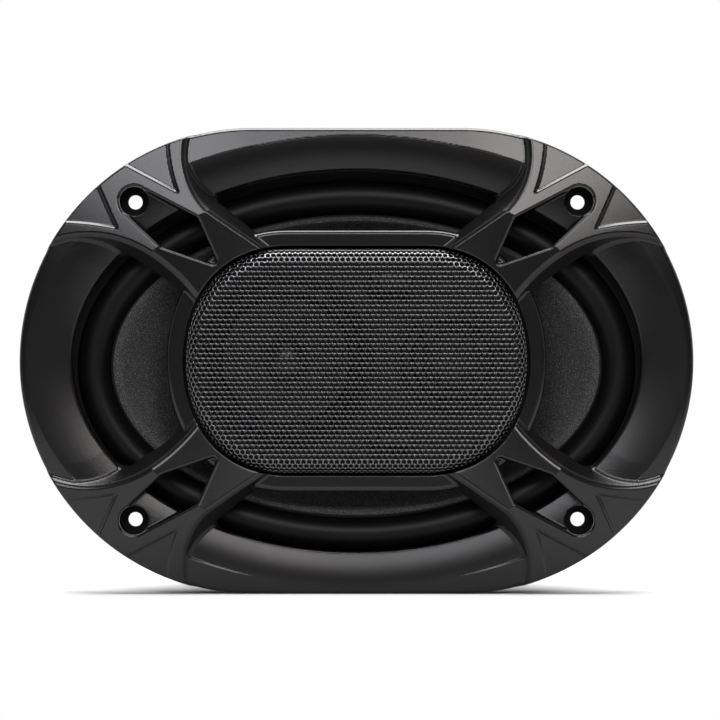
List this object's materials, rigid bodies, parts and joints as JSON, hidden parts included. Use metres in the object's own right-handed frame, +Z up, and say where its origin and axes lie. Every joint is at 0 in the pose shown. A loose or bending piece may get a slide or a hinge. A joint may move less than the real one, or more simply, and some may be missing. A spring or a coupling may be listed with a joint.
{
  "type": "coaxial car speaker",
  "caption": "Oval coaxial car speaker with a forked front frame, perforated pod over small drivers, woofer cone, windowed basket and ferrite motor.",
  "frame": {"origin": "centre of the four fixing holes, on the rear face of the mounting flange", "axes": "-Y out of the front of the speaker, +X along the long axis, +Z up in the picture"},
  "size_m": [0.236, 0.0935, 0.163],
  "materials": {
    "frame_plastic": "moulded with a fine satin grain",
    "grille_steel": "perforated sheet, black powder coat",
    "tray_plastic": "moulded, matte",
    "black_screws": "blackened steel",
    "gasket_foam": "closed-cell foam",
    "basket_steel": "pressed steel, black satin paint",
    "plated_steel": "zinc plated, turned faces",
    "ferrite": "ground ferrite",
    "boot_rubber": "moulded, matte",
    "surround_rubber": "soft, matte",
    "spider_cloth": "resin-treated woven cloth",
    "cone_pulp": "filled polymer with a fine pale fleck",
    "former_film": "thin rolled sheet",
    "coil_copper": "enamelled copper winding",
    "cap_plastic": "pressed film",
    "terminal_plastic": "moulded, matte",
    "tab_brass": "plated",
    "mid_pulp": "pressed pulp, coated",
    "small_rubber": "treated cloth",
    "tweeter_plastic": "moulded, satin",
    "neodymium": "nickel plated",
    "dome_silk": "coated woven silk",
    "capacitor_sleeve": "black shrink sleeve"
  },
  "bodies": {
    "frame": {"front_frame": "frame_plastic", "mesh_grille": "grille_steel", "driver_tray": "tray_plastic", "tray_screws": "black_screws", "frame_screws": "black_screws", "front_gasket": "gasket_foam", "basket": "basket_steel", "basket_rivets": "plated_steel", "top_plate": "plated_steel", "ferrite_magnet": "ferrite", "pole_yoke": "plated_steel", "magnet_boot": "boot_rubber", "surround": "surround_rubber", "spider": "spider_cloth", "terminal_block": "terminal_plastic", "terminal_tabs": "tab_brass", "tinsel_leads": "tab_brass", "mid_frame": "basket_steel", "mid_top_plate": "plated_steel", "mid_magnet": "ferrite", "mid_yoke": "plated_steel", "mid_surround": "small_rubber", "tweeter_housing": "tweeter_plastic", "tweeter_cup": "plated_steel", "tweeter_magnet": "neodymium", "tweeter_pole": "plated_steel", "tweeter_surround": "dome_silk", "crossover_capacitors": "capacitor_sleeve"},
    "woofer": {"woofer_cone": "cone_pulp", "voice_coil_former": "former_film", "voice_coil": "coil_copper", "dust_cap": "cap_plastic"},
    "midrange": {"mid_cone": "mid_pulp", "mid_voice_coil": "coil_copper", "mid_dust_cap": "cap_plastic"},
    "tweeter": {"tweeter_dome": "dome_silk"}
  },
  "joints": [
    {"name": "woofer_travel", "type": "slide", "parent": "frame", "child": "woofer", "axis": [0, -1, 0], "range_m": [-0.004, 0.004], "stiffness_N_per_m": 2800, "deforming": ["surround", "spider", "tinsel_leads"]},
    {"name": "midrange_travel", "type": "slide", "parent": "frame", "child": "midrange", "axis": [0, -1, 0], "range_m": [-0.0008, 0.0008], "stiffness_N_per_m": 1500, "deforming": ["mid_surround"]},
    {"name": "tweeter_travel", "type": "slide", "parent": "frame", "child": "tweeter", "axis": [0, -1, 0], "range_m": [-0.0003, 0.0003], "stiffness_N_per_m": 1000, "deforming": ["tweeter_surround"]}
  ]
}
